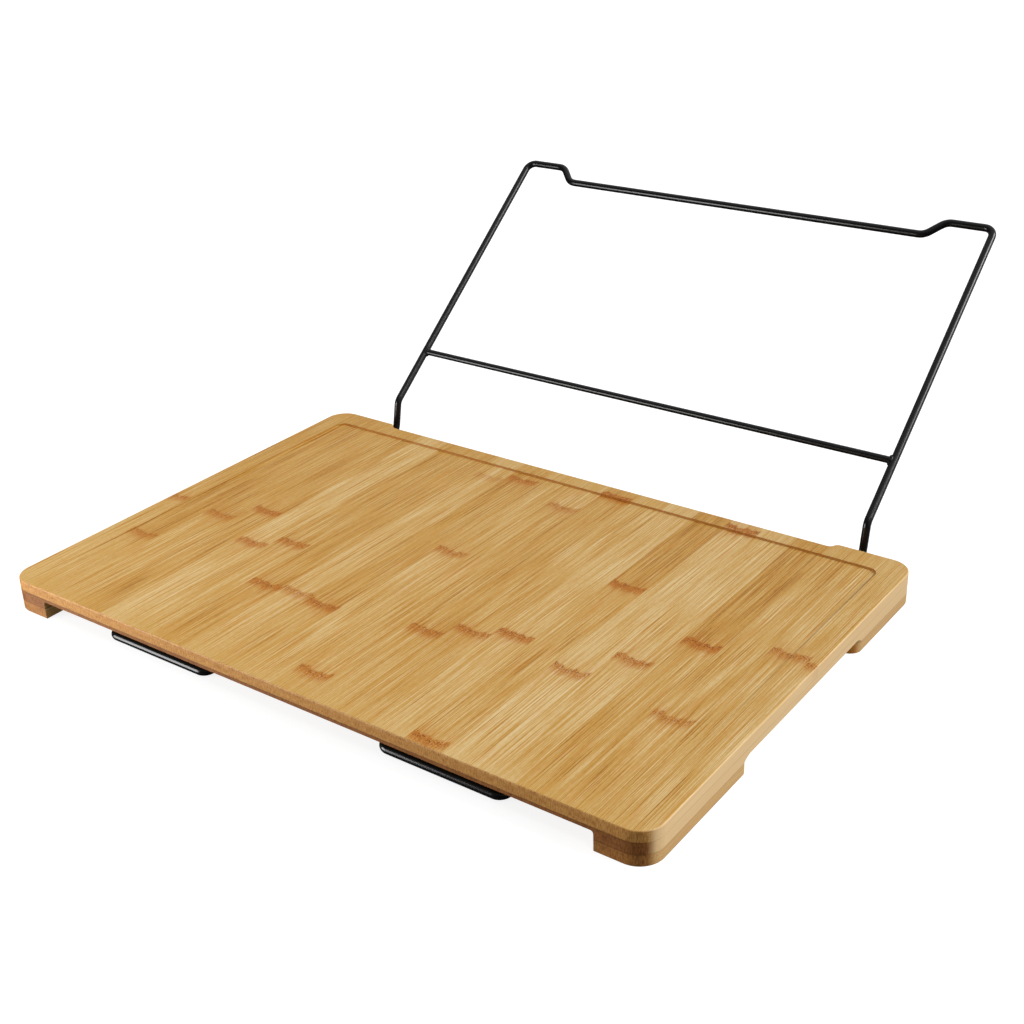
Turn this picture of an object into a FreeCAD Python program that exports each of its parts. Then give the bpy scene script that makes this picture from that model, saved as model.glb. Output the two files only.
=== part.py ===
import FreeCAD, Part
import math
import os

os.makedirs("parts", exist_ok=True)

# Book display stand: a bamboo board on four corner feet, with a hinged wire back frame
# behind it and two fold-down wire legs under its front edge. Millimetres, +Z up, -Y to the
# front. The origin is on the table, in the middle of the whole stand.

V = FreeCAD.Vector
X_AXIS = V(1, 0, 0)

# Board: three plies of bamboo, milled out below so that only the corners reach the table.
BOARD_WIDTH = 450.0
BOARD_DEPTH = 302.5
PLY = 6.8
BOARD_TOP = 3 * PLY
CORNER_RADIUS = 14.0
TOP_EASE = 0.8
FOOT_EASE = 0.5

# Milling below: a pocket between the feet from front to rear, and a shallower gap at each side.
POCKET_ROOF = 11.6
POCKET_FILLET = 1.7
SIDE_ROOF = 9.6
SIDE_FILLET = 3.5

# Feet: what is left of the lower plies at the corners.
FOOT_WIDTH = 30.0
FRONT_FOOT_END = 96.6
REAR_FOOT_START = 221.2
FOOT_CORNER = 8.0

# Shallow grip notch in the rear edge, with an S-shaped run-out at each end.
NOTCH_HALF = 170.0
NOTCH_RUNOUT = 7.0
NOTCH_DEPTH = 4.8

# Book recess: its floor falls from nothing at the front to a low ledge at the rear.
RECESS_HALF = 209.2
RECESS_FRONT = 17.0
RECESS_REAR = 285.5
RECESS_DEPTH = 1.3
RECESS_RADIUS = 6.0

# Wire, and the fit of the pins in their clips.
WIRE = 5.0
WIRE_RADIUS = WIRE / 2
CROSS_WIRE = 4.5
PIN_CLEARANCE = 0.05
SLAB_GAP = 0.3
TABLE_GAP = 0.05
PIVOT_Z = POCKET_ROOF - SLAB_GAP - WIRE_RADIUS

# Back frame: pins, arms under the board, a riser behind it, and the leaning frame. The pins
# have end play in their clips, and each wire has slid a little to one side.
FRAME_HALF = 184.8
FRAME_PIVOT_Y = BOARD_DEPTH - 60.0
FRAME_PIN = 32.0
RISER_LEAN = 10.8
LEAN = 38.4
LEAN_Y = BOARD_DEPTH + 17.2
LEAN_Z = 30.6
CROSS_UP = 44.3
DIP_UP = 210.6
EAR_UP = 222.8
EAR_INNER = 152.3
DIP_OUTER = 140.9
PIN_BEND = 8.0
JOG_BEND = 14.0
LEAN_BEND = 8.0
TOP_BEND = 6.5
SHOULDER_BEND = 9.5
FRAME_SLIDE = 0.8

# Front legs: two U-shaped wires lying under the front edge.
LEG_CENTRE = 102.25
LEG_HALF = 39.2
LEG_BAR_Y = 6.9
LEG_PIVOT_Y = 66.0
LEG_PIN = 27.0
LEG_PIN_BEND = 7.0
LEG_CORNER = 5.5
LEG_SLIDE = -3.0

# Saddle clips: a strap over the pin, with a screwed flange in front and behind.
CLIP_STEEL = 1.2
CLIP_FLANGE = 13.0
CLIP_CORNER = 2.0
CLIP_ROOT = 0.8
BACK_CLIP_WIDTH = 16.0
FRONT_CLIP_WIDTH = 12.0
CLIP_TO_BEND = 4.0
STOP_FROM_PIVOT = 4.7
STOP_BOTTOM = 4.0
STOP_HALF = 4.5

# Pan-head screws.
SCREW_HOLE = 3.2
SCREW_SHANK = 2.9
SCREW_HEAD = 5.8
SCREW_HEAD_HEIGHT = 1.7
SCREW_REACH = 4.2
SCREW_TIP = 1.2
DRIVE_SLOT = 0.9
DRIVE_WIDTH = 3.2
DRIVE_DEPTH = 0.9

EAR_Y = LEAN_Y + EAR_UP * math.cos(math.radians(LEAN))
OVERALL_DEPTH = EAR_Y + WIRE_RADIUS
MARGIN = 5.0


def save(name, shape):
    """Move a shape from front-edge coordinates to the stand's own frame, and export it."""
    moved = shape.copy()
    moved.translate(V(0, -OVERALL_DEPTH / 2, 0))
    moved.exportStep("parts/%s.step" % name)
    print(name, "valid", moved.isValid(), "solids", len(moved.Solids), "mm3", round(moved.Volume, 1))


def box(x0, x1, y0, y1, z0, z1):
    return Part.makeBox(x1 - x0, y1 - y0, z1 - z0, V(x0, y0, z0))


def line(a, b):
    return Part.LineSegment(a, b).toShape()


def arc(a, middle, b):
    return Part.Arc(a, middle, b).toShape()


def solid_from(edges, direction):
    """Extrude a closed outline."""
    return Part.Face(Part.Wire(edges)).extrude(direction)


def bent_bar(points, radii, diameter):
    """Round bar through the points, with a tangent arc of the given radius at each inner one."""
    edges = []
    start = points[0]
    length = 0.0
    for before, corner, after, radius in zip(points, points[1:], points[2:], radii):
        into = (corner - before).normalize()
        out = (after - corner).normalize()
        turn = into.getAngle(out)
        cut = radius * math.tan(turn / 2)
        inward = (out - into).normalize()
        centre = corner + inward * (radius / math.cos(turn / 2))
        arc_start = corner - into * cut
        arc_end = corner + out * cut
        edges.append(line(start, arc_start))
        edges.append(arc(arc_start, centre - inward * radius, arc_end))
        length += start.distanceToPoint(arc_start) + radius * turn
        start = arc_end
    edges.append(line(start, points[-1]))
    length += start.distanceToPoint(points[-1])
    circle = Part.makeCircle(diameter / 2, points[0], points[1] - points[0])
    bar = Part.Wire(edges).makePipeShell([Part.Wire(circle)], True, False)
    section = math.pi * diameter ** 2 / 4
    print("bar", round(length, 1), "mm, volume ratio", round(bar.Volume / (section * length), 4))
    return bar


# ---------------------------------------------------------------- board

def rounded_block(half_width, y0, y1, z0, z1, radius):
    """Upright block with rounded plan corners."""
    block = box(-half_width, half_width, y0, y1, z0, z1)
    uprights = [e for e in block.Edges if abs(e.Vertexes[0].X - e.Vertexes[1].X) < 1e-6
                and abs(e.Vertexes[0].Y - e.Vertexes[1].Y) < 1e-6]
    return block.makeFillet(radius, uprights)


def notch_cutter():
    """Shallow cut along the rear edge: flat in the middle, an S-curve at each end."""
    z = -MARGIN
    far = BOARD_DEPTH + MARGIN
    deep = BOARD_DEPTH - NOTCH_DEPTH
    half_y = BOARD_DEPTH - NOTCH_DEPTH / 2
    s_radius = (NOTCH_RUNOUT ** 2 + NOTCH_DEPTH ** 2) / (4 * NOTCH_DEPTH)
    sagitta_turn = math.asin(NOTCH_RUNOUT / 2 / s_radius)
    step_x = s_radius * math.sin(sagitta_turn / 2)
    step_y = s_radius * (1 - math.cos(sagitta_turn / 2))
    outer = NOTCH_HALF + NOTCH_RUNOUT
    middle = NOTCH_HALF + NOTCH_RUNOUT / 2

    def point(x, y):
        return V(x, y, z)

    edges = [
        line(point(-NOTCH_HALF, deep), point(NOTCH_HALF, deep)),
        arc(point(NOTCH_HALF, deep), point(NOTCH_HALF + step_x, deep + step_y), point(middle, half_y)),
        arc(point(middle, half_y), point(outer - step_x, BOARD_DEPTH - step_y), point(outer, BOARD_DEPTH)),
        line(point(outer, BOARD_DEPTH), point(outer, far)),
        line(point(outer, far), point(-outer, far)),
        line(point(-outer, far), point(-outer, BOARD_DEPTH)),
        arc(point(-outer, BOARD_DEPTH), point(-outer + step_x, BOARD_DEPTH - step_y),
            point(-middle, half_y)),
        arc(point(-middle, half_y), point(-NOTCH_HALF - step_x, deep + step_y),
            point(-NOTCH_HALF, deep)),
    ]
    return solid_from(edges, V(0, 0, BOARD_TOP + 2 * MARGIN))


def foot_block(near, far, end):
    """Space that a right-hand foot keeps, with its two upright corners rounded at one end."""
    block = box(BOARD_WIDTH / 2 - FOOT_WIDTH, BOARD_WIDTH / 2, near, far, -2 * MARGIN, BOARD_TOP)
    corners = [e for e in block.Edges if abs(e.CenterOfMass.y - end) < 1e-4 and e.BoundBox.ZLength > MARGIN]
    return block.makeFillet(FOOT_CORNER, corners)


def side_gap_cutter():
    """The gap between the right-hand feet, with a fillet where its roof meets a foot."""
    inner = BOARD_WIDTH / 2 - FOOT_WIDTH - MARGIN
    outer = BOARD_WIDTH / 2 + MARGIN
    rear = BOARD_DEPTH + MARGIN
    gap = box(inner, outer, -MARGIN, rear, -MARGIN, SIDE_ROOF)
    gap = gap.cut(foot_block(-2 * MARGIN, FRONT_FOOT_END, FRONT_FOOT_END))
    gap = gap.cut(foot_block(REAR_FOOT_START, rear + MARGIN, REAR_FOOT_START))
    round_feet = [e for e in edges_at(gap, SIDE_ROOF)
                  if inner + 1 < e.CenterOfMass.x < outer - 1 and 1 - MARGIN < e.CenterOfMass.y < rear - 1]
    return gap.makeFillet(SIDE_FILLET, round_feet)


def pocket_cutter():
    """The pocket between the left and right feet, open at the front and the rear."""
    inside = BOARD_WIDTH / 2 - FOOT_WIDTH
    pocket = box(-inside, inside, -MARGIN, BOARD_DEPTH + MARGIN, -MARGIN, POCKET_ROOF)
    long_edges = [e for e in edges_at(pocket, POCKET_ROOF) if e.BoundBox.XLength < 1e-4]
    return pocket.makeFillet(POCKET_FILLET, long_edges)


def recess_cutter():
    """Block tilted about the recess's front line, so that its underside is the sloping floor."""
    tilt = math.atan2(RECESS_DEPTH, RECESS_REAR - RECESS_FRONT)
    block = rounded_block(RECESS_HALF, RECESS_FRONT - 2 * MARGIN, RECESS_REAR,
                          BOARD_TOP, BOARD_TOP + 2 * MARGIN, RECESS_RADIUS)
    block.rotate(V(0, RECESS_FRONT, BOARD_TOP), X_AXIS, -math.degrees(tilt))
    return block


def edges_at(shape, z):
    """Edges that lie wholly at one height."""
    return [e for e in shape.Edges if abs(e.BoundBox.ZMin - z) < 1e-4 and abs(e.BoundBox.ZMax - z) < 1e-4]


def make_board():
    """The whole laminated board, before it is split into its plies."""
    board = rounded_block(BOARD_WIDTH / 2, 0, BOARD_DEPTH, 0, BOARD_TOP, CORNER_RADIUS)
    board = board.cut(notch_cutter()).removeSplitter()
    board = board.makeFillet(TOP_EASE, edges_at(board, BOARD_TOP))
    board = board.makeFillet(FOOT_EASE, edges_at(board, 0.0))
    right_gap = side_gap_cutter()
    left_gap = right_gap.mirror(V(0, 0, 0), X_AXIS)
    return board.cut([pocket_cutter(), right_gap, left_gap, recess_cutter()])


def ply(board, level):
    """One of the three plies, counted from the table."""
    half = BOARD_WIDTH / 2 + MARGIN
    layer = box(-half, half, -MARGIN, BOARD_DEPTH + MARGIN, level * PLY, (level + 1) * PLY)
    return board.common(layer)


# ---------------------------------------------------------------- wires

def mirrored(points):
    """The points of one side, and then the other side's in reverse."""
    return points + [V(-p.x, p.y, p.z) for p in reversed(points)]


def up_the_lean(x, distance):
    """A point of the leaning frame, at a distance above its lower bend."""
    angle = math.radians(LEAN)
    return V(x, LEAN_Y + distance * math.cos(angle), LEAN_Z + distance * math.sin(angle))


def jog_corner():
    """Where the riser meets the arm, so that the bend between them rests on the table."""
    riser = math.radians(RISER_LEAN)
    height = WIRE_RADIUS + TABLE_GAP
    for _ in range(20):
        y = LEAN_Y - (LEAN_Z - height) * math.tan(riser)
        droop = math.atan2(PIVOT_Z - height, y - FRAME_PIVOT_Y)
        turn = math.pi / 2 - riser + droop
        cut = JOG_BEND * math.tan(turn / 2)
        lowest = height + cut * math.sin(droop) - JOG_BEND * (1 - math.cos(droop))
        height += WIRE_RADIUS + TABLE_GAP - lowest
    return V(-FRAME_HALF, y, height)


def make_back_frame():
    side = [
        V(-FRAME_HALF + FRAME_PIN, FRAME_PIVOT_Y, PIVOT_Z),
        V(-FRAME_HALF, FRAME_PIVOT_Y, PIVOT_Z),
        jog_corner(),
        V(-FRAME_HALF, LEAN_Y, LEAN_Z),
        up_the_lean(-FRAME_HALF, EAR_UP),
        up_the_lean(-EAR_INNER, EAR_UP),
        up_the_lean(-DIP_OUTER, DIP_UP),
    ]
    bends = [PIN_BEND, JOG_BEND, LEAN_BEND, TOP_BEND, SHOULDER_BEND, SHOULDER_BEND]
    frame = bent_bar(mirrored(side), bends + bends[::-1], WIRE)
    frame.translate(V(FRAME_SLIDE, 0, 0))
    return frame


def make_cross_bar(frame):
    """Bar welded between the two sides, its ends coped to them."""
    start = up_the_lean(-FRAME_HALF + FRAME_SLIDE, CROSS_UP)
    bar = Part.makeCylinder(CROSS_WIRE / 2, 2 * FRAME_HALF, start, X_AXIS)
    pieces = bar.cut(frame).Solids
    return max(pieces, key=lambda s: s.Volume)


def make_front_leg(centre):
    side = [
        V(-LEG_HALF + LEG_PIN, LEG_PIVOT_Y, PIVOT_Z),
        V(-LEG_HALF, LEG_PIVOT_Y, PIVOT_Z),
        V(-LEG_HALF, LEG_BAR_Y, WIRE_RADIUS + TABLE_GAP),
    ]
    bends = [LEG_PIN_BEND, LEG_CORNER]
    leg = bent_bar(mirrored(side), bends + bends[::-1], WIRE)
    leg.translate(V(centre + LEG_SLIDE, 0, 0))
    return leg


# ---------------------------------------------------------------- clips and screws

def screw_offset():
    """Distance from the pin to each screw, in the middle of a flange."""
    outer = WIRE_RADIUS + PIN_CLEARANCE + CLIP_STEEL
    return (outer + CLIP_FLANGE) / 2


def make_clip(x, y, width):
    """Strap bent over a pin whose axis is at the pivot height."""
    inner = WIRE_RADIUS + PIN_CLEARANCE
    outer = inner + CLIP_STEEL
    top = POCKET_ROOF
    flange = top - CLIP_STEEL
    left = x - width / 2

    def point(dy, z):
        return V(left, y + dy, z)

    edges = [
        line(point(-CLIP_FLANGE, top), point(-CLIP_FLANGE, flange)),
        line(point(-CLIP_FLANGE, flange), point(-outer, flange)),
        line(point(-outer, flange), point(-outer, PIVOT_Z)),
        arc(point(-outer, PIVOT_Z), point(0, PIVOT_Z - outer), point(outer, PIVOT_Z)),
        line(point(outer, PIVOT_Z), point(outer, flange)),
        line(point(outer, flange), point(CLIP_FLANGE, flange)),
        line(point(CLIP_FLANGE, flange), point(CLIP_FLANGE, top)),
        line(point(CLIP_FLANGE, top), point(inner, top)),
        line(point(inner, top), point(inner, PIVOT_Z)),
        arc(point(inner, PIVOT_Z), point(0, PIVOT_Z - inner), point(-inner, PIVOT_Z)),
        line(point(-inner, PIVOT_Z), point(-inner, top)),
        line(point(-inner, top), point(-CLIP_FLANGE, top)),
    ]
    clip = solid_from(edges, V(width, 0, 0))
    roots = [e for e in clip.Edges if abs(e.BoundBox.ZMax - flange) < 1e-4
             and abs(e.BoundBox.ZMin - flange) < 1e-4
             and abs(abs(e.CenterOfMass.y - y) - outer) < 1e-4]
    clip = clip.makeFillet(CLIP_ROOT, roots)
    corners = [e for e in clip.Edges if abs(abs(e.CenterOfMass.y - y) - CLIP_FLANGE) < 1e-4
               and e.BoundBox.XLength < 1e-4 and e.BoundBox.YLength < 1e-4]
    clip = clip.makeFillet(CLIP_CORNER, corners)
    for side in (-1, 1):
        hole = Part.makeCylinder(SCREW_HOLE / 2, 2 * MARGIN, V(x, y + side * screw_offset(), top - MARGIN))
        clip = clip.cut(hole)
    return clip


def add_stop(clip, x, y, width, arm_x):
    """Tab behind the pin that the leg's arm meets when it is folded out."""
    toward = 1 if arm_x > x else -1
    reach = [x + toward * (width / 2 - CLIP_CORNER), arm_x + toward * STOP_HALF]
    face_y = y + STOP_FROM_PIVOT
    plate = box(min(reach), max(reach), face_y, y + CLIP_FLANGE - CLIP_CORNER,
                POCKET_ROOF - CLIP_STEEL, POCKET_ROOF)
    tab = box(arm_x - STOP_HALF, arm_x + STOP_HALF, face_y, face_y + CLIP_STEEL,
              STOP_BOTTOM, POCKET_ROOF)
    return clip.fuse([plate, tab]).removeSplitter()


def make_screw(x, y):
    """Pan-head screw up through a clip's flange, with a cross recess."""
    seat = POCKET_ROOF - CLIP_STEEL
    head = Part.makeCylinder(SCREW_HEAD / 2, SCREW_HEAD_HEIGHT, V(x, y, seat - SCREW_HEAD_HEIGHT))
    head = head.makeFillet(SCREW_HEAD_HEIGHT * 0.5, edges_at(head, seat - SCREW_HEAD_HEIGHT))
    body = CLIP_STEEL + SCREW_REACH
    shank = Part.makeCylinder(SCREW_SHANK / 2, body - SCREW_TIP, V(x, y, seat))
    tip = Part.makeCone(SCREW_SHANK / 2, SCREW_SHANK / 6, SCREW_TIP, V(x, y, seat + body - SCREW_TIP))
    screw = head.fuse([shank, tip]).removeSplitter()
    low = seat - SCREW_HEAD_HEIGHT
    for half_x, half_y in ((DRIVE_WIDTH / 2, DRIVE_SLOT / 2), (DRIVE_SLOT / 2, DRIVE_WIDTH / 2)):
        screw = screw.cut(box(x - half_x, x + half_x, y - half_y, y + half_y, low - 1, low + DRIVE_DEPTH))
    return screw


def screw_pair(x, y):
    return [make_screw(x, y + side * screw_offset()) for side in (-1, 1)]


# ---------------------------------------------------------------- assembly

back_clip_x = FRAME_HALF - PIN_BEND - CLIP_TO_BEND - BACK_CLIP_WIDTH / 2
front_clip_from_arm = LEG_PIN_BEND + CLIP_TO_BEND + FRONT_CLIP_WIDTH / 2

clips = {}
screws = {}
for name, side in (("left", -1), ("right", 1)):
    clip_x = side * back_clip_x
    clips["back_clip_" + name] = make_clip(clip_x, FRAME_PIVOT_Y, BACK_CLIP_WIDTH)
    screws["back_clip_screws_" + name] = screw_pair(clip_x, FRAME_PIVOT_Y)
    leg_screws = []
    for place, arm_side in (("outer", side), ("inner", -side)):
        arm_x = side * LEG_CENTRE + arm_side * LEG_HALF
        clip_x = arm_x - arm_side * front_clip_from_arm
        clip = make_clip(clip_x, LEG_PIVOT_Y, FRONT_CLIP_WIDTH)
        clips["front_clip_%s_%s" % (name, place)] = add_stop(clip, clip_x, LEG_PIVOT_Y,
                                                             FRONT_CLIP_WIDTH, arm_x)
        leg_screws += screw_pair(clip_x, LEG_PIVOT_Y)
    screws["front_clip_screws_" + name] = leg_screws

board = make_board()
for group in screws.values():
    for screw in group:
        board = board.cut(screw)

save("top_ply", ply(board, 2))
save("middle_ply", ply(board, 1))
for foot in ply(board, 0).Solids:
    centre = foot.CenterOfMass
    end = "front" if centre.y < BOARD_DEPTH / 2 else "rear"
    hand = "left" if centre.x < 0 else "right"
    save("foot_%s_%s" % (end, hand), foot)

back_frame = make_back_frame()
save("back_frame_wire", back_frame)
save("back_frame_cross_bar", make_cross_bar(back_frame))
for name, side in (("left", -1), ("right", 1)):
    save("front_leg_" + name, make_front_leg(side * LEG_CENTRE))

for name, clip in clips.items():
    save(name, clip)
for name, group in screws.items():
    save(name, Part.makeCompound(group))
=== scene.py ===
"""Looks of the book display stand: a laminated bamboo board that carries three black wires.

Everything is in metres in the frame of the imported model. The patterns work in millimetres from the
board's front left corner, because a strip, a fibre and a node have their sizes in millimetres.
"""

import math

import bmesh
import bpy
from mathutils import Matrix, Vector


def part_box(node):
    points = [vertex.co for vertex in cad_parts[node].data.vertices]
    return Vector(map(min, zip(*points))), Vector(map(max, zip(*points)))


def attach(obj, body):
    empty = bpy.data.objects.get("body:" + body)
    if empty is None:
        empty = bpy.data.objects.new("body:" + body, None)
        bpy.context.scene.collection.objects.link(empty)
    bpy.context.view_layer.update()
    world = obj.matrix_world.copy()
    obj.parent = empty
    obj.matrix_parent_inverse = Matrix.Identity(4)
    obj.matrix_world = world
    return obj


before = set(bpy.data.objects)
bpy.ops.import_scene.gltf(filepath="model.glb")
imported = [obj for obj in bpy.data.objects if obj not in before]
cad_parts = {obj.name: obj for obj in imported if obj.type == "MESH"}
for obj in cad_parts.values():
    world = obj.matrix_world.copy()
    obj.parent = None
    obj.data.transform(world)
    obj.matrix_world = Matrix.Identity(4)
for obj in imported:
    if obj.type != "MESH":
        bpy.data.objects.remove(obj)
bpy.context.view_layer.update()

# ---- camera -------------------------------------------------------------------------------------
TARGET = Vector((-0.0410, 0.0148, 0.0012))
AZIMUTH = 36.66       # degrees from straight in front towards the right
ELEVATION = 26.53
ROLL = -1.99
DISTANCE = 1.0219
LENS = 53.72          # mm
SENSOR = 36           # mm

# ---- studio -------------------------------------------------------------------------------------
ORIGIN = (0, 0, 0)
STUDIO = 12.0                         # radius of the floor and height of the wall round it
FLOOR_GREY = 0.3
FLOOR_GLOW = 0.85                     # light that the floor gives off by itself
DOME_TOWARD = (0.30, 0.60, 0.74)      # the brightest part of the studio dome
DOME_BRIGHT = 0.74
DOME_DARK = 0.05
KEY_PLACE = (2.0, 0.9, 1.5)           # soft sun from behind on the right
KEY_POWER = 0.94 * math.pi
KEY_ANGLE = 28
FILL_PLACE = (-0.55, -0.75, 0.05)     # low panel that lights the front face
FILL_AIM = (-0.1, -0.2, 0.01)
FILL_POWER = 9.0
FILL_SIZE = 0.45
GLINT_PLACE = (0.53, -0.27, 0.80)     # small sun for the highlight along the back frame
GLINT_POWER = 0.10 * math.pi
GLINT_ANGLE = 10

# ---- board --------------------------------------------------------------------------------------
MM = 0.001
BOARD_LOW, BOARD_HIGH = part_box("top_ply")
WIDTH = (BOARD_HIGH.x - BOARD_LOW.x) / MM
DEPTH = (BOARD_HIGH.y - BOARD_LOW.y) / MM
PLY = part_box("middle_ply")[1].z / MM / 2      # thickness of one ply
STRIP = 22.63                                 # width of a bamboo strip
FIRST_JOINT = 14.1                            # from the left edge to the first glue joint

# ---- wires --------------------------------------------------------------------------------------
WIRE = 5.0 * MM
FRAME_HALF = 184.8 * MM       # from the middle of the frame to the axis of a side wire
FRAME_SLIDE = 0.8 * MM
LEAN = 38.4                   # degrees from level

# The strips of the top from left to right: the place of the node across the strip (millimetres from
# the front edge) and how strong it is, the same for a second node, and the tone in front of the
# first node and behind it, where 0 is blond and 1 is honey brown.
TOP_STRIPS = [
    (131, 0.60, 0, 0.0, 0.42, 0.58),
    (82, 0.60, 0, 0.0, 0.52, 0.65),
    (128, 0.65, 0, 0.0, 0.47, 0.58),
    (148, 0.80, 0, 0.0, 0.60, 0.60),
    (111, 0.75, 0, 0.0, 0.35, 0.35),
    (124, 0.75, 0, 0.0, 0.45, 0.58),
    (76, 0.85, 0, 0.0, 0.55, 0.58),
    (79, 0.60, 267, 0.3, 0.40, 0.38),
    (76, 0.80, 275, 0.8, 0.52, 0.58),
    (168, 0.65, 0, 0.0, 0.42, 0.48),
    (255, 0.60, 19, 0.7, 0.52, 0.40),
    (86, 0.70, 285, 0.9, 0.46, 0.58),
    (99, 0.75, 0, 0.0, 0.48, 0.47),
    (109, 0.85, 0, 0.0, 0.33, 0.33),
    (189, 0.95, 4, 0.8, 0.48, 0.70),
    (95, 0.65, 287, 0.9, 0.25, 0.30),
    (122, 0.75, 0, 0.0, 0.33, 0.33),
    (156, 1.00, 0, 0.0, 0.50, 0.68),
    (86, 0.60, 0, 0.0, 0.50, 0.50),
    (172, 0.70, 0, 0.0, 0.45, 0.42),
    (167, 0.70, 0, 0.0, 0.30, 0.40),
]


def srgb(red, green, blue):
    """Linear colour of an 8-bit screen colour."""
    def linear(value):
        value /= 255
        return value / 12.92 if value <= 0.04045 else ((value + 0.055) / 1.055) ** 2.4
    return linear(red), linear(green), linear(blue), 1.0


# ---- shader graphs ------------------------------------------------------------------------------
class Value:
    """A number that varies over a surface. Arithmetic on it adds Math nodes."""

    def __init__(self, graph, socket):
        self.graph = graph
        self.socket = socket

    def __add__(self, other):
        return self.graph.math("ADD", self, other)

    def __sub__(self, other):
        return self.graph.math("SUBTRACT", self, other)

    def __rsub__(self, other):
        return self.graph.math("SUBTRACT", other, self)

    def __mul__(self, other):
        return self.graph.math("MULTIPLY", self, other)

    def __truediv__(self, other):
        return self.graph.math("DIVIDE", self, other)

    def floor(self):
        return self.graph.math("FLOOR", self)

    def size(self):
        return self.graph.math("ABSOLUTE", self)

    def clamped(self):
        return self.graph.math("ADD", self, 0.0, clamp=True)

    def ease(self, low, high):
        """0 below low, 1 above high, and a smooth step between. It falls where low is over high."""
        node = self.graph.node("MapRange", interpolation_type="SMOOTHSTEP", clamp=True)
        if low < high:
            settings = (self, low, high, 0.0, 1.0)
        else:
            settings = (self, high, low, 1.0, 0.0)
        self.graph.feed(node, settings)
        return Value(self.graph, node.outputs[0])


class Graph:
    """A new material and the few kinds of node that the patterns are made of."""

    def __init__(self, name):
        self.material = bpy.data.materials.new(name)
        self.material.use_nodes = True
        self.tree = self.material.node_tree
        self.shader = self.tree.nodes["Principled BSDF"]

    def node(self, kind, **settings):
        node = self.tree.nodes.new("ShaderNode" + kind)
        for name, value in settings.items():
            setattr(node, name, value)
        return node

    def connect(self, socket, value):
        if isinstance(value, Value):
            value = value.socket
        if isinstance(value, bpy.types.NodeSocket):
            self.tree.links.new(value, socket)
        else:
            socket.default_value = value

    def feed(self, node, values):
        for socket, value in zip(node.inputs, values):
            self.connect(socket, value)

    def math(self, operation, *values, clamp=False):
        node = self.node("Math", operation=operation, use_clamp=clamp)
        self.feed(node, values)
        return Value(self, node.outputs[0])

    def split(self, vector):
        node = self.node("SeparateXYZ")
        self.connect(node.inputs[0], vector)
        return [Value(self, socket) for socket in node.outputs]

    def vector(self, x, y, z):
        node = self.node("CombineXYZ")
        self.feed(node, (x, y, z))
        return node.outputs[0]

    def place(self):
        """Place on the object in metres, which goes with the object when it moves."""
        return self.split(self.node("TexCoord").outputs["Object"])

    def normal(self):
        return self.split(self.node("TexCoord").outputs["Normal"])

    def noise(self, x, y, z, detail=2.0, roughness=0.5):
        """Soft noise from about 0 to 1, around 0.5, with features one unit across."""
        node = self.node("TexNoise")
        self.connect(node.inputs["Vector"], self.vector(x, y, z))
        node.inputs["Scale"].default_value = 1.0
        node.inputs["Detail"].default_value = detail
        node.inputs["Roughness"].default_value = roughness
        return Value(self, node.outputs[0])

    def cells(self, x, y, z):
        """Distance to the nearest of scattered points, about one unit apart."""
        node = self.node("TexVoronoi")
        self.connect(node.inputs["Vector"], self.vector(x, y, z))
        node.inputs["Scale"].default_value = 1.0
        return Value(self, node.outputs["Distance"])

    def random(self, value):
        node = self.node("TexWhiteNoise", noise_dimensions="1D")
        self.connect(node.inputs["W"], value)
        return Value(self, node.outputs["Value"])

    def table(self, place, rows):
        """Reads the row of a table at place, a whole number. A row has up to three numbers from 0 to 1."""
        node = self.node("ValToRGB")
        ramp = node.color_ramp
        ramp.interpolation = "CONSTANT"
        for index, row in enumerate(rows):
            stop = ramp.elements[0] if index == 0 else ramp.elements.new(index / len(rows))
            stop.position = index / len(rows)
            stop.color = (*row, 1.0)
        ramp.elements.remove(ramp.elements[-1])
        self.connect(node.inputs[0], (place + 0.5) / len(rows))
        return self.split(node.outputs[0])

    def palette(self, place, stops):
        """Colour ramp through stops, a list of (place, colour)."""
        node = self.node("ValToRGB")
        ramp = node.color_ramp
        for index, (position, colour) in enumerate(stops):
            stop = ramp.elements[index] if index < 2 else ramp.elements.new(position)
            stop.position = position
            stop.color = colour
        self.connect(node.inputs[0], place)
        return node.outputs[0]

    def mix(self, share, first, second):
        node = self.node("Mix", data_type="RGBA")
        self.connect(node.inputs[0], share)
        self.connect(node.inputs[6], first)
        self.connect(node.inputs[7], second)
        return node.outputs[2]

    def bump(self, height, distance, strength=1.0):
        """Raises the surface by height times distance, in metres."""
        node = self.node("Bump")
        node.inputs["Strength"].default_value = strength
        node.inputs["Distance"].default_value = distance
        self.connect(node.inputs["Height"], height)
        self.tree.links.new(node.outputs[0], self.shader.inputs["Normal"])

    def finish(self, **inputs):
        """Sets the shader's own sockets, by name with _ for a space, and returns the material."""
        for name, value in inputs.items():
            self.connect(self.shader.inputs[name.replace("_", " ")], value)
        return self.material


# ---- bamboo -------------------------------------------------------------------------------------
BAMBOO = [
    (0.00, srgb(206, 181, 134)),
    (0.30, srgb(191, 157, 98)),
    (0.50, srgb(183, 143, 74)),
    (0.75, srgb(177, 129, 50)),
    (1.00, srgb(144, 92, 26)),
]
HONEY = srgb(182, 118, 42)
NODE_BROWN = srgb(164, 94, 4)
NODE_DARK = srgb(116, 58, 2)
SIDE_PALE_AND_SHEEN = srgb(214, 184, 140)
# pale colour of the outer sides: partly a lighter skin, partly a painted sheen in place of reflected light
LEDGE_WARM = srgb(188, 116, 46)
GLUE_BROWN = srgb(84, 50, 24)


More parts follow.
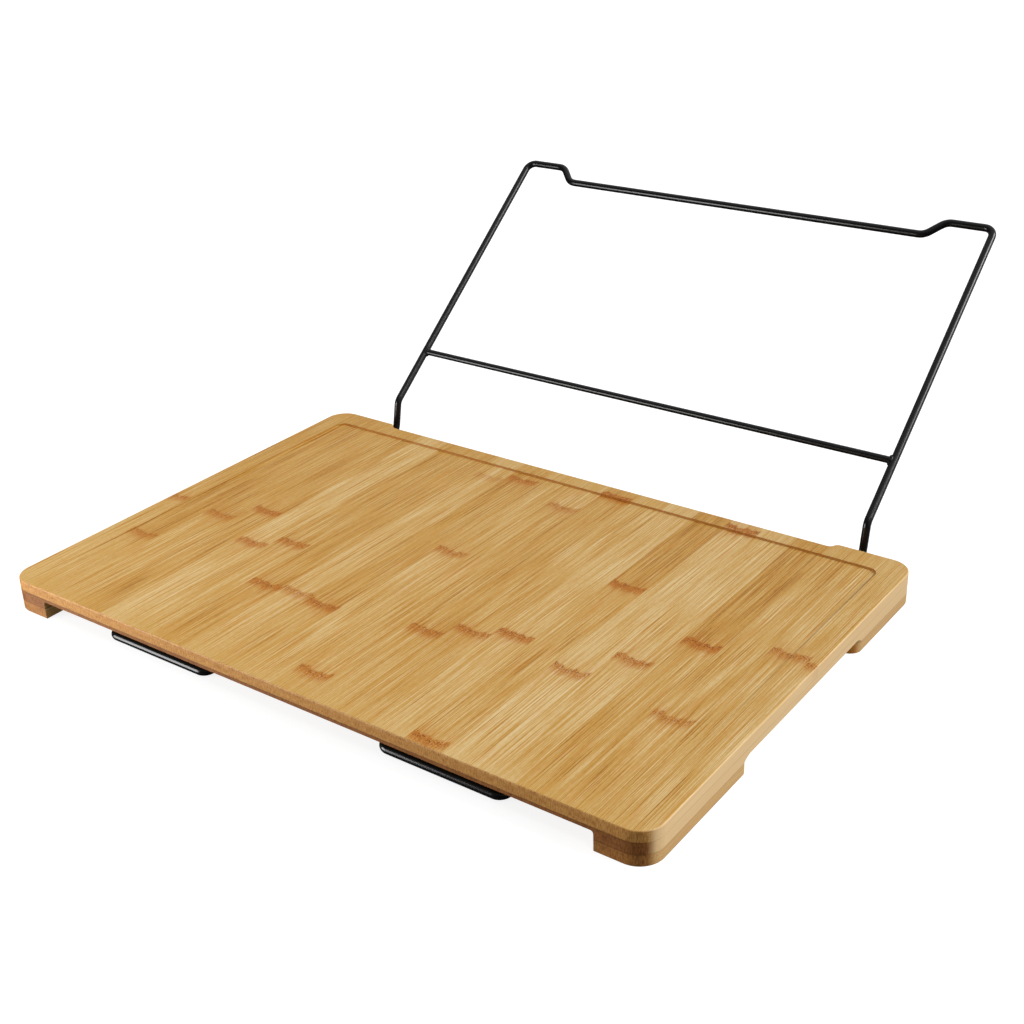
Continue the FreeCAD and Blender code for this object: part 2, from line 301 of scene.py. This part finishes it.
def strip_tone(g, strip, own, y, tone, strips):
    """Tone of the bare strip, and its two nodes as (place, strength) pairs, if strips are given."""
    if not strips:
        return (g.random(own) - 0.5) * 0.3 + tone, []
    first = [(row[0] / DEPTH, row[1], row[4]) for row in strips]
    second = [(row[2] / DEPTH, row[3], row[5]) for row in strips]
    first_y, first_strength, ahead = g.table(strip, first)
    second_y, second_strength, behind = g.table(strip, second)
    first_y = first_y * DEPTH
    second_y = second_y * DEPTH
    after = (y - first_y).ease(-9.0, 5.0)
    level = ahead * (1.0 - after) + behind * after
    return level, [(first_y, first_strength), (second_y, second_strength)]


def add_nodes(g, colour, x, y, across, own, nodes):
    """Scorched bands across the strips, with dots in them and a faint halo of streaks round them."""
    wander = (g.noise(x / 4.5 + own, own, 0.0, detail=2.0) - 0.5) * 9.0
    wander = wander + (across - 0.5).size() * 4.0
    speck = g.noise(x / 0.8 + own, y / 1.0, 0.0, detail=1.0).ease(0.38, 0.58)
    dots = g.cells(x / 1.2 + own, y / 1.5, 0.0).ease(0.50, 0.20)
    streak = g.noise(x / 0.9 + own, y / 16.0, 0.0, detail=1.0).ease(0.42, 0.68)
    marks = []
    scorches = []
    for centre, strength in nodes:
        off = y - centre - wander
        core = off.ease(4.8, 2.0) * off.ease(-7.5, 0.0)
        edge = off.ease(3.8, 2.4) * off.ease(-2.0, 1.4)
        halo = off.size().ease(20.0, 2.0)
        marks.append((core * (speck * 0.70 + 0.40) + halo * streak * 0.50) * strength)
        scorches.append((core * 0.50 + edge * 0.75) * dots * strength)
    colour = g.mix((marks[0] + marks[1]).clamped(), colour, NODE_BROWN)
    return g.mix((scorches[0] + scorches[1]).clamped(), colour, NODE_DARK)


def add_edges(g, colour, x, y, z, own, ends, pale_and_sheen):
    """The outer sides, paler partly for a lighter skin and partly as a painted sheen, the fibres cut
    across at the ends, and the glue between the plies.
    """
    nx, ny, nz = g.normal()
    # painted sheen: the outer sides are mixed toward a pale colour, partly for a lighter skin and partly
    # in place of the sheen of light on them
    rim = (x - WIDTH / 2).size().ease(WIDTH / 2 - 5.0, WIDTH / 2 - 3.0)
    side = nx.size().ease(0.5, 0.9) * rim
    colour = g.mix(side * pale_and_sheen, colour, SIDE_PALE_AND_SHEEN)

    front_or_back = (y - DEPTH / 2).size().ease(DEPTH / 2 - 9.0, DEPTH / 2 - 7.0)
    cross_cut = ny.size().ease(0.35, 0.75)
    end = cross_cut * front_or_back
    bundle = g.cells(x / 0.8 + own, y / 0.8, z / 0.8).ease(0.55, 0.15)
    smear = g.noise(x / 0.55 + own, y / 0.7, z / 3.0, detail=1.0)
    drift = g.noise(x / 7.0 + own, 0.0, z / 2.2, detail=1.0)
    dark = bundle * 0.4 + (smear - 0.5) * 2.0 + (drift - 0.5) * 0.8 + 0.32
    colour = g.mix(end, colour, g.mix(dark.clamped(), ends[0], ends[1]))
    colour = g.mix((cross_cut - end).clamped() * (smear + 0.25), colour, LEDGE_WARM)

    seam = z / PLY
    seam = (seam - (seam + 0.5).floor()).size().ease(0.07, 0.015) * nz.size().ease(0.6, 0.3)
    seam = seam * (g.noise(x / 3.0, y / 9.0, z, detail=1.0) * 0.5 + 0.35) * (1.0 - side * 0.75)
    return g.mix(seam, colour, GLUE_BROWN)


def bamboo(name, ends, pale_and_sheen, strips=None, first_joint=FIRST_JOINT, tone=0.5, seed=0.0):
    """Strips glued side by side, with their fibres along Y. Fibres run through the whole thickness,
    so that the edges show them lengthwise at the sides, which are made paler by the given share, partly
    for a lighter skin and partly as a painted sheen, and cut across at the ends, where the colour goes
    from the first to the second of ends."""
    g = Graph(name)
    x, y, z = g.place()
    x = (x - BOARD_LOW.x) / MM
    y = (y - BOARD_LOW.y) / MM
    z = z / MM
    ply = (z / PLY - 0.001).floor()
    place = (x - first_joint) / STRIP + 1.0
    strip = place.floor()
    across = place - strip
    own = strip * 37.0 + ply * 11.0 + seed        # a far-off part of each noise for each strip

    thread = g.noise(x / 0.40 + own, y / 60.0, z / 0.40, detail=1.0)
    line = g.noise(x / 1.3 + own, y / 90.0 + own, z / 1.3, detail=1.0)
    band = g.noise(x / 4.0 + own, y / 140.0 + own, z / 3.0, detail=1.0)
    cloud = g.noise(x / 14.0 + own, y / 45.0, z / 9.0, detail=1.0)
    fleck = g.noise(x / 0.5 + own, y / 3.0, z / 0.5, detail=0.0)
    vein = g.noise(x / 0.7 + own + 9.0, y / 70.0 + own, z / 0.7, detail=0.0).ease(0.62, 0.76)
    warmth = g.noise(x / 2.6 + own, y / 24.0 + own, z / 2.6, detail=2.0)

    grain = (thread - 0.5) * 1.9 + (line - 0.5) * 0.2 + (band - 0.5) * 0.2
    grain = grain + (cloud - 0.5) * 0.2 + (fleck - 0.5) * 0.3 + vein * 0.30
    joint = (0.5 - (across - 0.5).size()) * STRIP
    level, nodes = strip_tone(g, strip, own, y, tone, strips)
    level = level + grain + joint.ease(0.35, 0.0) * 0.12
    colour = g.palette(level.clamped(), BAMBOO)
    colour = g.mix(warmth.ease(0.50, 0.80) * 0.35, colour, HONEY)
    if nodes:
        colour = add_nodes(g, colour, x, y, across, own, nodes)
    colour = add_edges(g, colour, x, y, z, own, ends, pale_and_sheen)

    g.bump(thread * 0.6 + line * 0.4 + fleck * 0.4, 0.00006, 0.5)
    return g.finish(Base_Color=colour, Roughness=line * 0.16 + 0.36, Specular_IOR_Level=0.25)


# ---- metals -------------------------------------------------------------------------------------
def black_coat(name, orange_peel):
    """Black coat on steel, uneven like orange peel of the given size, with a fine grit on it."""
    g = Graph(name)
    x, y, z = g.place()
    peel = g.noise(x / orange_peel, y / orange_peel, z / orange_peel, detail=2.0)
    grit = g.noise(x / 0.0003, y / 0.0003, z / 0.0003, detail=1.0)
    colour = g.palette(peel, [(0.3, srgb(7, 7, 8)), (0.7, srgb(17, 17, 18))])
    g.bump(peel * 0.7 + grit * 0.3, 0.00004, 0.4)
    return g.finish(Base_Color=colour, Roughness=grit * 0.08 + 0.19, Specular_IOR_Level=0.30)


def zinc(name):
    """Zinc-plated steel with turning marks and cloudy patches."""
    g = Graph(name)
    x, y, z = g.place()
    cloud = g.noise(x / 0.004, y / 0.004, z / 0.004, detail=3.0)
    mark = g.noise(x / 0.0002, y / 0.006, z / 0.0002, detail=1.0)
    colour = g.palette(cloud * 0.7 + mark * 0.3, [(0.3, srgb(165, 166, 170)), (0.7, srgb(205, 206, 208))])
    g.bump(mark, 0.00002, 0.4)
    return g.finish(Base_Color=colour, Metallic=1.0, Roughness=cloud * 0.2 + 0.2)


# ---- weld beads ---------------------------------------------------------------------------------
RING = 40                      # points round a bead
OVERLAP = 0.1 * MM             # how far its edges reach into the bar and the wire
WELD_REACH = 1.2 * MM          # how far the bead runs up the bar and out over the wire
WELDS = [("weld_left", -1, 0.4 * MM), ("weld_right", 1, 0.6 * MM)]     # name, side and swell


def weld_bead(name, joint, toward, along, wire, bar, swell):
    """Ring of weld metal where the bar meets the wire. The bar leaves the joint in the direction
    toward, and the wire runs along; wire and bar are their radii, and swell is the bead's height."""
    normal = toward.cross(along).normalized()
    form = bmesh.new()
    rings = []
    for index in range(RING):
        turn = 2 * math.pi * index / RING
        ripple = 1 + 0.16 * math.sin(9 * turn) + 0.1 * math.sin(4 * turn + 1.3)
        spoke = math.cos(turn) * along + math.sin(turn) * normal
        lift = min(abs(bar * math.sin(turn)), 0.9 * wire)
        foot = math.sqrt(wire ** 2 - lift ** 2)
        spread = min(abs((bar + WELD_REACH * ripple) * math.sin(turn)), 0.97 * wire)
        flank = math.sqrt(wire ** 2 - spread ** 2)
        on_bar = spoke * (bar - OVERLAP) + toward * (foot + WELD_REACH * ripple)
        on_wire = (math.cos(turn) * (bar + WELD_REACH * ripple) * along
                   + math.copysign(spread, math.sin(turn)) * normal + toward * (flank - OVERLAP))
        inside = spoke * (bar - 0.6 * MM) + toward * (foot - 0.3 * MM)
        crown = (on_bar + on_wire) / 2 + (spoke + toward) * (swell * ripple * 0.5)
        outline = [on_bar, (on_bar + crown) / 2 + (spoke + toward) * (swell * 0.2), crown,
                   (crown + on_wire) / 2 + (spoke + toward) * (swell * 0.2), on_wire, inside]
        rings.append([form.verts.new(joint + point) for point in outline])
    for ring, following in zip(rings, rings[1:] + rings[:1]):
        for a, b, c, d in zip(ring, ring[1:] + ring[:1], following[1:] + following[:1], following):
            form.faces.new((a, b, c, d)).smooth = True
    bmesh.ops.recalc_face_normals(form, faces=form.faces)
    mesh = bpy.data.meshes.new(name)
    form.to_mesh(mesh)
    form.free()
    bead = bpy.data.objects.new(name, mesh)
    bpy.context.scene.collection.objects.link(bead)
    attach(bead, "back_frame")
    return bead


def weld_beads(material):
    """A bead at each end of the cross bar, where its axis crosses the axis of a side wire."""
    low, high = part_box("back_frame_cross_bar")
    bar = (high.z - low.z) / 2
    middle = (low + high) / 2
    along = Vector((0, math.cos(math.radians(LEAN)), math.sin(math.radians(LEAN))))
    for name, side, swell in WELDS:
        joint = Vector((FRAME_SLIDE + side * FRAME_HALF, middle.y, middle.z))
        bead = weld_bead(name, joint, Vector((-side, 0, 0)), along, WIRE / 2, bar, swell)
        bead.data.materials.append(material)


# ---- finish of each piece -----------------------------------------------------------------------
def paint(node, material):
    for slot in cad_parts[node].material_slots:
        slot.material = material


def paint_all():
    paint("top_ply", bamboo("bamboo_top", (srgb(184, 136, 74), srgb(140, 88, 38)), 0.75,
                            strips=TOP_STRIPS))
    paint("middle_ply", bamboo("bamboo_core", (srgb(140, 90, 46), srgb(94, 52, 20)), 0.75,
                               first_joint=5.0, tone=0.55, seed=5.0))
    foot = bamboo("bamboo_foot", (srgb(160, 108, 54), srgb(112, 70, 32)), 0.4,
                  first_joint=9.0, tone=0.62, seed=9.0)
    coat = black_coat("black_powder_coat", 1.1 * MM)
    clip = black_coat("black_strip", 0.5 * MM)
    screw = zinc("screw_zinc")
    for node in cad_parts:
        if node.startswith("foot"):
            paint(node, foot)
        elif "screws" in node:
            paint(node, screw)
        elif "clip" in node:
            paint(node, clip)
        elif "frame" in node or "leg" in node:
            paint(node, coat)
    weld_beads(coat)


# ---- stage --------------------------------------------------------------------------------------
def set_camera():
    azimuth = math.radians(AZIMUTH)
    elevation = math.radians(ELEVATION)
    back = Vector((
        math.sin(azimuth) * math.cos(elevation),
        -math.cos(azimuth) * math.cos(elevation),
        math.sin(elevation),
    ))
    right = Vector((0, 0, 1)).cross(back).normalized()
    up = back.cross(right)
    roll = math.radians(ROLL)
    side = math.cos(roll) * right + math.sin(roll) * up
    top = math.cos(roll) * up - math.sin(roll) * right
    data = bpy.data.cameras.new("camera")
    data.lens = LENS
    data.sensor_width = SENSOR
    camera = bpy.data.objects.new("camera", data)
    bpy.context.scene.collection.objects.link(camera)
    turn = Matrix((side, top, back)).transposed()
    camera.matrix_world = Matrix.Translation(TARGET + back * DISTANCE) @ turn.to_4x4()
    bpy.context.scene.camera = camera


def set_floor():
    """Round pale floor with a wall far round it. It is hidden from diffuse, glossy and shadow rays,
    so that it neither lights the object nor shows in the wires, but it does receive shadows."""
    form = bmesh.new()
    bmesh.ops.create_circle(form, cap_ends=True, segments=64, radius=STUDIO)
    rim = [edge for edge in form.edges if edge.is_boundary]
    wall = bmesh.ops.extrude_edge_only(form, edges=rim)["geom"]
    for vertex in [part for part in wall if isinstance(part, bmesh.types.BMVert)]:
        vertex.co.z += STUDIO
    mesh = bpy.data.meshes.new("floor")
    form.to_mesh(mesh)
    form.free()
    floor = bpy.data.objects.new("floor", mesh)
    bpy.context.scene.collection.objects.link(floor)
    floor.data.materials.append(Graph("floor").finish(
        Base_Color=(FLOOR_GREY, FLOOR_GREY, FLOOR_GREY, 1.0), Roughness=0.9, Specular_IOR_Level=0.0,
        Emission_Color=(1.0, 1.0, 1.0, 1.0), Emission_Strength=FLOOR_GLOW))
    floor.visible_diffuse = False
    floor.visible_glossy = False
    floor.visible_shadow = False


def add_light(name, kind, place, aim, power):
    data = bpy.data.lights.new(name, kind)
    data.energy = power
    light = bpy.data.objects.new(name, data)
    light.location = place
    light.rotation_euler = (Vector(place) - Vector(aim)).to_track_quat("Z", "Y").to_euler()
    bpy.context.scene.collection.objects.link(light)
    return data


def set_world():
    """Studio dome: bright behind and above, nearly dark in front and below."""
    world = bpy.data.worlds.new("studio")
    world.use_nodes = True
    nodes = world.node_tree.nodes
    link = world.node_tree.links.new
    toward = nodes.new("ShaderNodeVectorMath")
    toward.operation = "DOT_PRODUCT"
    toward.inputs[1].default_value = DOME_TOWARD
    link(nodes.new("ShaderNodeTexCoord").outputs["Generated"], toward.inputs[0])
    strength = nodes.new("ShaderNodeMapRange")
    strength.interpolation_type = "SMOOTHSTEP"
    for socket, value in zip(strength.inputs[1:5], (-0.3, 0.9, DOME_DARK, DOME_BRIGHT)):
        socket.default_value = value
    link(toward.outputs["Value"], strength.inputs[0])
    link(strength.outputs[0], nodes["Background"].inputs[1])
    nodes["Background"].inputs[0].default_value = (1, 1, 1, 1)
    bpy.context.scene.world = world


def set_lights():
    key = add_light("key", "SUN", KEY_PLACE, ORIGIN, KEY_POWER)
    key.angle = math.radians(KEY_ANGLE)
    fill = add_light("fill", "AREA", FILL_PLACE, FILL_AIM, FILL_POWER)
    fill.size = FILL_SIZE
    glint = add_light("glint", "SUN", GLINT_PLACE, ORIGIN, GLINT_POWER)
    glint.angle = math.radians(GLINT_ANGLE)
    bpy.context.scene.view_settings.view_transform = "Standard"


paint_all()
set_camera()
set_floor()
set_world()
set_lights()
